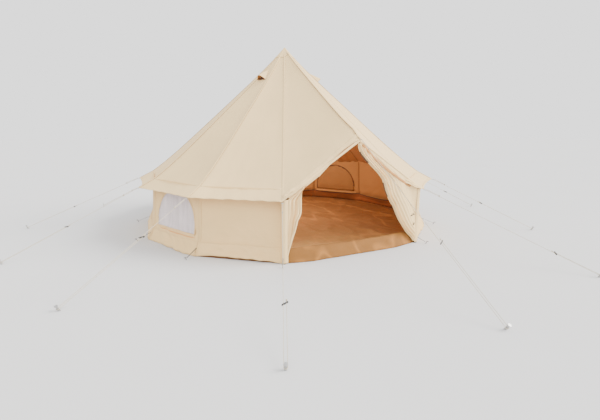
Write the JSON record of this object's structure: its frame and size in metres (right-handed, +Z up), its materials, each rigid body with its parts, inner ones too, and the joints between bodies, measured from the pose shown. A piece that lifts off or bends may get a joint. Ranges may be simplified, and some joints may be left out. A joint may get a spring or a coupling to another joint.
{
  "type": "bell tent",
  "caption": "Round canvas bell tent on a centre pole, with low walls, flared eaves, a framed open doorway, arched mesh windows, a tub floor and staked guy lines.",
  "frame": {"origin": "on the ground under the middle of the floor, where the centre pole stands", "axes": "+Z up; the door faces -Y; +X is to the right for someone facing +Y, looking in through the door"},
  "size_m": [8.388, 8.9015, 3.022],
  "materials": {
    "canvas": "matt cotton canvas, sand",
    "canvas_trim": "doubled canvas",
    "mesh": "fine insect mesh",
    "floor": "coated groundsheet, tan",
    "floor_edge": "coated groundsheet, tan",
    "pole_steel": "galvanised tube",
    "joint_metal": "cast",
    "rubber": "matt",
    "galvanised": "galvanised",
    "webbing": "woven tape",
    "rope": "braided cord",
    "runner": "moulded"
  },
  "bodies": {
    "tent": {"apex_cap": "canvas_trim", "centre_pole_cap": "rubber", "centre_pole_foot": "rubber", "centre_pole_lower": "pole_steel", "centre_pole_middle": "pole_steel", "centre_pole_upper": "pole_steel", "door_knee_joints": "joint_metal", "door_leg_feet": "rubber", "door_leg_left": "pole_steel", "door_leg_right": "pole_steel", "door_peak_joint": "joint_metal", "door_rafter_left": "pole_steel", "door_rafter_right": "pole_steel", "eave_rings": "galvanised", "eave_tabs": "webbing", "eave_valance": "canvas", "groundsheet": "floor", "guy_rope_door": "rope", "guy_rope_front_left": "rope", "guy_rope_front_right": "rope", "guy_rope_left_1": "rope", "guy_rope_left_2": "rope", "guy_rope_left_3": "rope", "guy_rope_left_4": "rope", "guy_rope_rear_left": "rope", "guy_rope_rear_right": "rope", "guy_rope_right_1": "rope", "guy_rope_right_2": "rope", "guy_rope_right_3": "rope", "guy_rope_right_4": "rope", "guy_stakes": "galvanised", "insect_door_left": "mesh", "insect_door_right": "mesh", "plain_wall_panels": "canvas", "roof_canvas": "canvas", "tub_wall": "floor_edge", "vent_hoods": "canvas", "wall_peg_loops": "webbing", "wall_pegs": "galvanised", "window_meshes": "mesh", "window_wall_panels": "canvas"},
    "cover_front_right": {"window_cover_front_right": "canvas"},
    "cover_rear_right": {"window_cover_rear_right": "canvas"},
    "cover_rear_left": {"window_cover_rear_left": "canvas"},
    "cover_front_left": {"window_cover_front_left": "canvas"},
    "flap_left": {"door_flap_left": "canvas"},
    "flap_right": {"door_flap_right": "canvas"},
    "runner_front_right": {"guy_runner_front_right": "runner"},
    "runner_right_1": {"guy_runner_right_1": "runner"},
    "runner_right_2": {"guy_runner_right_2": "runner"},
    "runner_right_3": {"guy_runner_right_3": "runner"},
    "runner_right_4": {"guy_runner_right_4": "runner"},
    "runner_rear_right": {"guy_runner_rear_right": "runner"},
    "runner_rear_left": {"guy_runner_rear_left": "runner"},
    "runner_left_4": {"guy_runner_left_4": "runner"},
    "runner_left_3": {"guy_runner_left_3": "runner"},
    "runner_left_2": {"guy_runner_left_2": "runner"},
    "runner_left_1": {"guy_runner_left_1": "runner"},
    "runner_front_left": {"guy_runner_front_left": "runner"},
    "runner_door": {"guy_runner_door": "runner"}
  },
  "joints": [
    {"name": "cover_front_right_fold", "type": "hinge", "parent": "tent", "child": "cover_front_right", "pos_m": [2.14271, -0.87046, 0.23452], "axis": [-0.3764, -0.9265, 0], "range_deg": [0, 95]},
    {"name": "cover_rear_right_fold", "type": "hinge", "parent": "tent", "child": "cover_rear_right", "pos_m": [1.9186, 1.29146, 0.23452], "axis": [0.5584, -0.8296, 0], "range_deg": [0, 95]},
    {"name": "cover_rear_left_fold", "type": "hinge", "parent": "tent", "child": "cover_rear_left", "pos_m": [-1.9186, 1.29146, 0.23452], "axis": [0.5584, 0.8296, 0], "range_deg": [0, 95]},
    {"name": "cover_front_left_fold", "type": "hinge", "parent": "tent", "child": "cover_front_left", "pos_m": [-2.14271, -0.87046, 0.23452], "axis": [-0.3764, 0.9265, 0], "range_deg": [0, 95]},
    {"name": "flap_left_swing", "type": "hinge", "parent": "tent", "child": "flap_left", "pos_m": [0, -2.258, 1.509], "axis": [-0.8436, 0, -0.5369], "range_deg": [0, 35]},
    {"name": "flap_right_swing", "type": "hinge", "parent": "tent", "child": "flap_right", "pos_m": [0, -2.258, 1.509], "axis": [-0.8436, 0, 0.5369], "range_deg": [0, 35]},
    {"name": "runner_front_right_slide", "type": "slide", "parent": "tent", "child": "runner_front_right", "axis": [0.3671, -0.8639, -0.3449], "range_m": [0, 0.36]},
    {"name": "runner_right_1_slide", "type": "slide", "parent": "tent", "child": "runner_right_1", "axis": [0.6749, -0.5993, -0.4305], "range_m": [0, 0.4]},
    {"name": "runner_right_2_slide", "type": "slide", "parent": "tent", "child": "runner_right_2", "axis": [0.8642, -0.2379, -0.4433], "range_m": [0, 0.4]},
    {"name": "runner_right_3_slide", "type": "slide", "parent": "tent", "child": "runner_right_3", "axis": [0.8686, 0.2748, -0.4123], "range_m": [0, 0.4]},
    {"name": "runner_right_4_slide", "type": "slide", "parent": "tent", "child": "runner_right_4", "axis": [0.5986, 0.6959, -0.3967], "range_m": [0, 0.4]},
    {"name": "runner_rear_right_slide", "type": "slide", "parent": "tent", "child": "runner_rear_right", "axis": [0.2521, 0.8801, -0.4024], "range_m": [0, 0.4]},
    {"name": "runner_rear_left_slide", "type": "slide", "parent": "tent", "child": "runner_rear_left", "axis": [-0.2068, 0.896, -0.393], "range_m": [0, 0.4]},
    {"name": "runner_left_4_slide", "type": "slide", "parent": "tent", "child": "runner_left_4", "axis": [-0.7469, 0.4921, -0.4472], "range_m": [0, 0.4]},
    {"name": "runner_left_3_slide", "type": "slide", "parent": "tent", "child": "runner_left_3", "axis": [-0.902, 0.1835, -0.3909], "range_m": [0, 0.4]},
    {"name": "runner_left_2_slide", "type": "slide", "parent": "tent", "child": "runner_left_2", "axis": [-0.8955, -0.1725, -0.4102], "range_m": [0, 0.4]},
    {"name": "runner_left_1_slide", "type": "slide", "parent": "tent", "child": "runner_left_1", "axis": [-0.7574, -0.5064, -0.4123], "range_m": [0, 0.4]},
    {"name": "runner_front_left_slide", "type": "slide", "parent": "tent", "child": "runner_front_left", "axis": [-0.3908, -0.8534, -0.345], "range_m": [0, 0.4]},
    {"name": "runner_door_slide", "type": "slide", "parent": "tent", "child": "runner_door", "axis": [-0.0354, -0.834, -0.5506], "range_m": [0, 0.4]}
  ]
}
